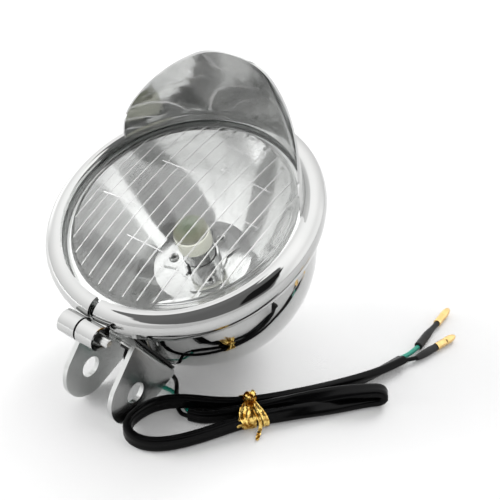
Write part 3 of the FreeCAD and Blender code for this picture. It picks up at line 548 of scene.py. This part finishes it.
# ---------------------------------------------------------------- bulb
def bulb_dome(sides=64):
    prof = [(5.5, -40.0), (6.2, -40.0), (6.2, -18.15), (7.6, -18.15), (7.9, -18.0)]
    turns = [math.radians(90 * k / 16) for k in range(1, 16)]
    prof += [(7.95 * math.cos(t), -17.8 + 5.6 * math.sin(t)) for t in turns] + [(0, -12.2), (0, -12.9)]
    prof += [(7.2 * math.cos(t), -17.4 + 4.5 * math.sin(t)) for t in reversed(turns)] + [(7.15, -17.45), (5.5, -17.45)]
    verts, faces, rings = [], [], []
    for r, n in prof:
        count = sides if r else 1
        rings.append([len(verts) + k for k in range(count)])
        for k in range(count):
            a = 2 * math.pi * k / sides
            verts.append(lamp_pt(r * math.cos(a), r * math.sin(a), n) * MM)
    for p, q in zip(rings, rings[1:] + rings[:1]):
        for k in range(sides):
            l = (k + 1) % sides
            if len(p) > 1 and len(q) > 1:
                faces.append((p[k], p[l], q[l], q[k]))
            elif len(p) > 1:
                faces.append((p[k], p[l], q[0]))
            elif len(q) > 1:
                faces.append((p[0], q[l], q[k]))
    return mesh_object("bulb_dome", verts, faces, M["bulb"], 50.0)


bulb = bulb_dome()
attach(bulb, "root")
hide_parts("bulb_glass")

# ---------------------------------------------------------------- gold foil tie
TIE_C = tb(55.0, -16.2, 0)
TIE_S = Vector((0.638, 0.77, 0)).normalized()
TIE_A = Vector((TIE_S.y, -TIE_S.x, 0))


def tie_pt(v):
    """v: across the bundle towards the front, along it, height (metres)"""
    return TIE_C * MM + TIE_A * v.x + TIE_S * v.y + Vector((0, 0, v.z))


def ribbon(name, ctrl, folds, closed=False):
    """crumpled foil strip: ctrl is (across, along, height, width) in mm"""
    path = line_of([Vector(c[:3]) for c in ctrl], 12)
    wid = [v.y for v in line_of([Vector((i, c[3], 0)) for i, c in enumerate(ctrl)], 12)]
    n = 13
    phase = rng.uniform(0, 6.28)
    verts, faces = [], []
    tans = tangents(path)
    wprev = None
    for i, (p, t, w) in enumerate(zip(path, tans, wid)):
        axis = Vector((0, 1, 0)) if abs(t.y) < 0.85 else Vector((1, 0, 0))
        axis = (axis - t * axis.dot(t)).normalized()
        if wprev is not None:
            axis = (wprev - t * wprev.dot(t)).normalized() * 0.8 + axis * 0.2 * (1 if axis.dot(wprev) > 0 else -1)
            axis.normalize()
        wprev = axis
        nrm = t.cross(axis).normalized()
        amp = (0.46 + 0.12 * math.sin(i * 0.17 + phase)) * MM * min(1.0, w / MM / 2.6) * min(1.0, 0.3 + p.z / MM / 6.0)
        for side in (0, 1):
            for k in range(n):
                q = 2.0 * k / (n - 1) - 1
                z = amp * (2 * abs(((q * folds / 2 + phase + 0.05 * math.sin(i * 0.21)) % 1.0) - 0.5) - 0.5)
                z += 0.05 * MM * math.sin(i * 0.6 + q * 3 + phase)
                verts.append(p + axis * (q * w / 2) + nrm * (z + (0.05 if side else -0.05) * MM))
    m = 2 * n
    order = list(range(n)) + list(range(2 * n - 1, n - 1, -1))
    for i in range(len(path) - 1):
        for k in range(m):
            l = (k + 1) % m
            faces.append((i * m + order[k], i * m + order[l], (i + 1) * m + order[l], (i + 1) * m + order[k]))
    for i, flip in ((0, True), (len(path) - 1, False)):
        for k in range(n - 1):
            f = (i * m + k, i * m + k + 1, i * m + n + k + 1, i * m + n + k)
            faces.append(f if flip else f[::-1])
    low = min(v.z for v in verts)
    verts = [tie_pt(Vector((v.x, v.y, max(v.z, 0.00008 + 0.4 * (v.z - low)) if v.z < 0.0006 else v.z))) for v in verts]
    return verts, faces


def wrap(front, back, width, knot, lift):
    """one turn: knot, over the front, under, up the back, knot again"""
    ka, ks, kz = knot
    return [(ka, ks, kz, width * 0.55), (ka + 1.6, ks + (front - ks) * 0.18, 9.2 + lift, width * 0.7), (5.0, ks + (front - ks) * 0.55, 8.7 + lift, width * 0.85),
            (7.5 + lift, ks + (front - ks) * 0.8, 7.5, width * 0.95), (8.1 + lift, front, 4.6, width), (8.0 + lift, front, 1.6, width), (7.2, front, 0.35, width),
            (3.0, (2 * front + back) / 3, 0.3, width), (-4.0, (front + 2 * back) / 3, 0.3, width), (-7.6, back, 0.7, width), (-8.0 - lift, back, 3.8, width),
            (-7.6 - lift, back + (ks - back) * 0.3, 7.2, width * 0.9), (-4.6, back + (ks - back) * 0.7, 8.8 + lift, width * 0.75), (ka - 0.8, ks, kz - 0.3, width * 0.55)]


KNOT = (-1.6, -2.6, 11.0)
strips = [
    ribbon("a", wrap(-8.5, -5.0, 3.8, KNOT, 0.05), 1.1),
    ribbon("b", wrap(-5.0, -3.4, 4.2, (KNOT[0] + 0.2, KNOT[1] + 0.2, KNOT[2] + 0.3), 0.35), 1.4),
    ribbon("c", wrap(-2.6, -1.6, 2.4, (KNOT[0] - 0.2, KNOT[1] + 0.3, KNOT[2]), 0.1), 1.0),
    ribbon("d", wrap(2.9, -0.4, 2.7, (KNOT[0] + 0.3, KNOT[1] + 0.6, KNOT[2] + 0.2), 0.25), 1.2),
    ribbon("e", [(-1.8, -4.6, 8.6, 1.8), (-2.3, -4.2, 10.6, 2.6), (-2.2, -3.4, 12.8, 3.4), (-1.6, -2.3, 14.2, 3.4), (-1.0, -1.2, 12.8, 2.8), (-0.9, -0.5, 10.4, 2.2), (-1.0, -0.6, 8.8, 1.6)], 1.2),
    ribbon("f", [(-0.6, -4.2, 8.7, 1.5), (0.4, -3.6, 10.4, 2.2), (0.8, -2.6, 12.0, 2.8), (0.7, -1.5, 11.6, 2.6), (0.3, -0.7, 9.8, 2.0), (-0.3, -0.2, 8.6, 1.5)], 1.0),
    ribbon("g", [(0.6, -2.2, 9.8, 1.5), (4.0, -2.0, 9.5, 1.6), (7.8, -0.9, 8.2, 1.6), (9.3, 0.1, 5.6, 1.6), (9.7, 0.0, 2.7, 1.6), (10.4, -0.8, 0.6, 1.7), (12.4, -1.7, 0.4, 1.9), (14.8, -2.7, 0.55, 1.3)], 0.9),
    ribbon("h", [(-2.2, -3.0, 9.4, 1.5), (1.0, -4.8, 9.9, 2.4), (4.4, -6.9, 9.6, 3.0), (7.6, -7.6, 8.2, 2.8), (8.9, -6.6, 5.8, 2.2), (9.0, -5.2, 3.2, 1.3)], 1.2)]
tv, tf = [], []
for v, f in strips:
    base = len(tv)
    tv += v
    tf += [tuple(base + k for k in q) for q in f]
tie = mesh_object("foil_tie", tv, tf, M["foil"], 28.0)
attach(tie, "root")
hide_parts("twist_tie")

# ---------------------------------------------------------------- shrink sleeves and bullet terminals


def turned(name, points, profile, node, mat, lump=0.0, sides=28, flats=None):
    """round piece along a bent line; profile is (part of the length, radius)"""
    path = line_of(points, 14)
    total = [0.0]
    for a, b in zip(path, path[1:]):
        total.append(total[-1] + (b - a).length)
    stations = sorted(set([f for f, r in profile] + [i / 36.0 for i in range(37)]))
    rings = []
    for f in stations:
        want = f * total[-1]
        k = min(len(path) - 2, max(i for i, v in enumerate(total) if v <= want + 1e-12))
        g = (want - total[k]) / max(1e-12, total[k + 1] - total[k])
        p = path[k].lerp(path[k + 1], g)
        t = (path[min(k + 2, len(path) - 1)] - path[max(k - 1, 0)]).normalized()
        a = t.cross(up).normalized()
        b = a.cross(t).normalized()
        for (f0, r0), (f1, r1) in zip(profile, profile[1:]):
            if f0 <= f <= f1:
                r = r0 + (r1 - r0) * (0.0 if f1 == f0 else (f - f0) / (f1 - f0))
                break
        ring = []
        for j in range(sides):
            th = 2 * math.pi * j / sides
            rr = r * (1 + lump * (math.sin(3 * th + 9 * f) + 0.7 * math.sin(2 * th - 23 * f) + 0.6 * math.sin(41 * f)))
            if flats and flats[0] < f < flats[1]:
                rr *= 1 - 0.16 * max(0.0, math.cos(2 * th)) ** 6
            ring.append(p + (a * math.cos(th) + b * math.sin(th)) * rr * MM)
        lift = max(0.0, 0.05 * MM - min(q.z for q in ring))
        rings.append([q + Vector((0, 0, lift)) for q in ring])
    ob = sweep(name, rings, mat, smooth_angle=42.0)
    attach(ob, "root")
    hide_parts(node)
    return ob


SG0, SG1, BG1 = tb(86.4, 67.0, 2.0), tb(84.2, 87.6, 1.95), tb(82.8, 100.7, 1.95)
SB0, SB1, BB1 = tb(90.6, 61.2, 2.0), tb(93.0, 72.2, 1.95), tb(95.7, 84.6, 1.95)
SLEEVE_G = [(0.0, 1.25), (0.0, 1.9), (0.02, 2.0), (0.2, 2.0), (0.4, 1.95), (0.52, 1.9), (0.62, 1.7), (0.72, 1.4), (0.8, 1.3), (0.92, 1.32), (1.0, 1.4), (1.0, 1.0)]
SLEEVE_B = [(0.0, 1.15), (0.0, 1.3), (0.08, 1.4), (0.3, 1.75), (0.5, 1.9), (0.75, 1.85), (0.97, 1.7), (1.0, 1.6), (1.0, 1.0)]
BULLET = [(0.0, 1.0), (0.0, 1.72), (0.015, 1.82), (0.10, 1.86), (0.40, 1.86), (0.415, 1.68), (0.47, 1.62), (0.50, 1.8), (0.53, 1.9), (0.72, 1.88), (0.82, 1.72), (0.91, 1.42),
          (0.97, 1.1), (1.0, 0.8), (1.0, 0.42), (0.99, 0.34)]
mid_g = SG0.lerp(SG1, 0.5) + Vector((-0.35, 0, 0))
sleeves = [turned("shrink_green", [SG0, SG0.lerp(mid_g, 0.6), mid_g.lerp(SG1, 0.4), SG1], SLEEVE_G, "sleeve_green", M["sleeve"], 0.012),
           turned("shrink_black", [SB0 - (SB1 - SB0) * 0.18, SB0.lerp(SB1, 0.4), SB0.lerp(SB1, 0.7), SB1], SLEEVE_B, "sleeve_black", M["sleeve"], 0.012)]
bullets = [turned("bullet_end_green", [SG1, SG1.lerp(BG1, 0.4), SG1.lerp(BG1, 0.7), BG1], BULLET[:-1], "bullet_green", M["brass"], 0.0, 32, (0.12, 0.36)),
           turned("bullet_end_black", [SB1, SB1.lerp(BB1, 0.4), SB1.lerp(BB1, 0.7), BB1], BULLET[:-1], "bullet_black", M["brass"], 0.0, 32, (0.12, 0.36))]

# ---------------------------------------------------------------- stage
floor = mesh_object("floor", [(-6, -6, 0), (6, -6, 0), (6, 6, 0), (-6, 6, 0)], [(0, 1, 2, 3)],
                    plastic("floor_white", (0.545, 0.545, 0.547), (0.565, 0.565, 0.565), 0.75, 0.9, 60.0, 0.0, 0.0001, 4.0))
shine = floor.data.materials[0].node_tree.nodes["Principled BSDF"]
shine.inputs["Emission Color"].default_value = (1.0, 1.0, 1.0, 1.0)
shine.inputs["Emission Strength"].default_value = 0.14
floor.location.z = -0.0001

world = bpy.data.worlds.new("studio")
bpy.context.scene.world = world
world.use_nodes = True
wt = world.node_tree
wt.nodes.clear()
w_tc = wt.nodes.new("ShaderNodeTexCoord")
w_sep = wt.nodes.new("ShaderNodeSeparateXYZ")
wt.links.new(w_tc.outputs["Generated"], w_sep.inputs["Vector"])


def wmath(op, a, b=None):
    n = wt.nodes.new("ShaderNodeMath")
    n.operation = op
    for i, v in enumerate((a, b)):
        if v is None:
            continue
        if isinstance(v, (int, float)):
            n.inputs[i].default_value = v
        else:
            wt.links.new(v, n.inputs[i])
    return n.outputs[0]


w_az = wmath("MULTIPLY", wmath("ARCTAN2", w_sep.outputs["X"], wmath("MULTIPLY", w_sep.outputs["Y"], -1.0)), 180 / math.pi)
w_el = wmath("MULTIPLY", wmath("ARCSINE", w_sep.outputs["Z"]), 180 / math.pi)


def wstep(v, lo, hi):
    """0 below lo, 1 above hi, smooth between; falls instead when lo > hi"""
    n = wt.nodes.new("ShaderNodeMapRange")
    n.interpolation_type = "SMOOTHSTEP"
    n.clamp = True
    a, b, c, d = (lo, hi, 0.0, 1.0) if lo < hi else (hi, lo, 1.0, 0.0)
    n.inputs["From Min"].default_value = a
    n.inputs["From Max"].default_value = b
    n.inputs["To Min"].default_value = c
    n.inputs["To Max"].default_value = d
    wt.links.new(v, n.inputs["Value"])
    return n.outputs["Result"]


def wall(*vs):
    out = vs[0]
    for v in vs[1:]:
        out = wmath("MULTIPLY", out, v)
    return out


def wmix(fac, a, b):
    """a where fac is 0, b where it is 1"""
    return wmath("ADD", wmath("MULTIPLY", a, wmath("SUBTRACT", 1.0, fac)), wmath("MULTIPLY", b, fac))


# pale tent: brightest on the left, a dim opening above and in front, a dark figure in it
w_left = wt.nodes.new("ShaderNodeValToRGB")
stops = [(0, 100), (8, 85), (15, 36), (20, 19), (30, -7), (40, -22), (50, -37), (53, -50), (56, -94), (70, -97), (76, -84), (80, -69), (90, -85)]
els = w_left.color_ramp.elements
while len(els) < len(stops):
    els.new(0.5)
for k, (e_deg, a_deg) in zip(els, stops):
    k.position = e_deg / 90.0
    g = (a_deg + 180.0) / 360.0
    k.color = (g, g, g, 1.0)
wt.links.new(wmath("DIVIDE", w_el, 90.0), w_left.inputs["Fac"])
edge_l = wmath("SUBTRACT", wmath("MULTIPLY", w_left.outputs["Color"], 360.0), 180.0)
dim = wall(wstep(wmath("SUBTRACT", w_az, edge_l), -3.0, 3.0), wstep(w_az, 90.0, 86.0), wstep(w_el, 7.0, 15.0))
fig_l = wmath("ADD", w_az, wmath("MULTIPLY", wmath("SUBTRACT", w_el, 20.0), 0.25))
fig_r = wmath("SUBTRACT", w_az, wmath("MULTIPLY", wmath("SUBTRACT", w_el, 20.0), 0.2))
figure = wall(wstep(fig_l, 57.5, 60.5), wstep(fig_r, 83.5, 80.5), wstep(w_el, 19.0, 26.0), wstep(w_el, 72.0, 65.0))
soft = wall(wstep(w_az, -150.0, -118.0), wstep(w_az, -80.0, -98.0), wstep(w_el, -16.0, 0.0), wstep(w_el, 36.0, 14.0))
w_tent = wt.nodes.new("ShaderNodeValToRGB")
levels = [(0, 1.12), (20, 1.3), (40, 1.54), (60, 1.8), (80, 1.9)]
els = w_tent.color_ramp.elements
while len(els) < len(levels):
    els.new(0.5)
for k, (e_deg, v) in zip(els, levels):
    k.position = e_deg / 90.0
    k.color = (v / 2, v / 2, v / 2, 1.0)
wt.links.new(wmath("DIVIDE", w_el, 90.0), w_tent.inputs["Fac"])
tent = wmath("MULTIPLY", w_tent.outputs["Color"], 2.0)
right = wall(wstep(w_az, 92.0, 112.0), wstep(w_az, 172.0, 150.0), wstep(w_el, 45.0, 10.0))
tent = wmath("ADD", tent, wmath("MULTIPLY", right, 0.45))
front = wall(wstep(w_az, -28.0, -6.0), wstep(w_az, 96.0, 80.0), wstep(w_el, 24.0, 14.0))
tent = wmix(front, tent, 0.9)
tent = wmix(soft, tent, 2.3)
grey = wmath("ADD", 0.21, wmath("MULTIPLY", wstep(w_az, 15.0, -40.0), 0.05))
tent = wmix(dim, tent, grey)
tent = wmix(figure, tent, 0.018)
w_bg = wt.nodes.new("ShaderNodeBackground")
w_out = wt.nodes.new("ShaderNodeOutputWorld")
w_bg.inputs["Color"].default_value = (1.0, 1.0, 1.0, 1.0)
wt.links.new(tent, w_bg.inputs["Strength"])
wt.links.new(w_bg.outputs["Background"], w_out.inputs["Surface"])

key = bpy.data.lights.new("back_key", "AREA")
key.shape = "DISK"
key.size = 0.7
key.energy = 15.5
key_ob = bpy.data.objects.new("back_key", key)
key_ob.location = (-0.08, 1.2, 0.85)
key_ob.rotation_euler = (Vector((0.02, 0.0, 0.05)) - Vector(key_ob.location)).to_track_quat("-Z", "Y").to_euler()
key_ob.visible_glossy = False
key_ob.visible_transmission = False
col.objects.link(key_ob)

low = bpy.data.lights.new("low_fill", "AREA")
low.shape = "DISK"
low.size = 0.9
low.energy = 24.0
low_ob = bpy.data.objects.new("low_fill", low)
low_ob.location = (-0.95, -0.65, 0.40)
low_ob.rotation_euler = (Vector((-0.02, -0.04, 0.01)) - Vector(low_ob.location)).to_track_quat("-Z", "Y").to_euler()
low_ob.visible_glossy = False
low_ob.visible_transmission = False
col.objects.link(low_ob)

# soft light on the bulb and its holder only
glow = bpy.data.lights.new("bulb_light", "AREA")
glow.shape = "DISK"
glow.size = 0.08
glow.energy = 0.02
glow_ob = bpy.data.objects.new("bulb_light", glow)
glow_ob.matrix_world = Matrix.Translation(lamp_pt(0, 0, -7.6) * MM) @ Matrix.Rotation(math.radians(TILT), 4, "X")
glow_ob.visible_camera = False
glow_ob.visible_glossy = False
glow_ob.visible_transmission = False
col.objects.link(glow_ob)
lit = bpy.data.collections.new("bulb_pieces")
for name in ("bulb_collar", "bulb_cap", "bulb_socket", "socket_eyelets", "bulb_stem"):
    lit.objects.link(NODES[name])
lit.objects.link(bulb)
glow_ob.light_linking.receiver_collection = lit

sc = bpy.context.scene
sc.cycles.denoising_input_passes = "RGB"
sc.cycles.max_bounces = 20
sc.cycles.glossy_bounces = 10
sc.cycles.transmission_bounces = 16
sc.view_settings.view_transform = "Standard"
sc.view_settings.look = "None"
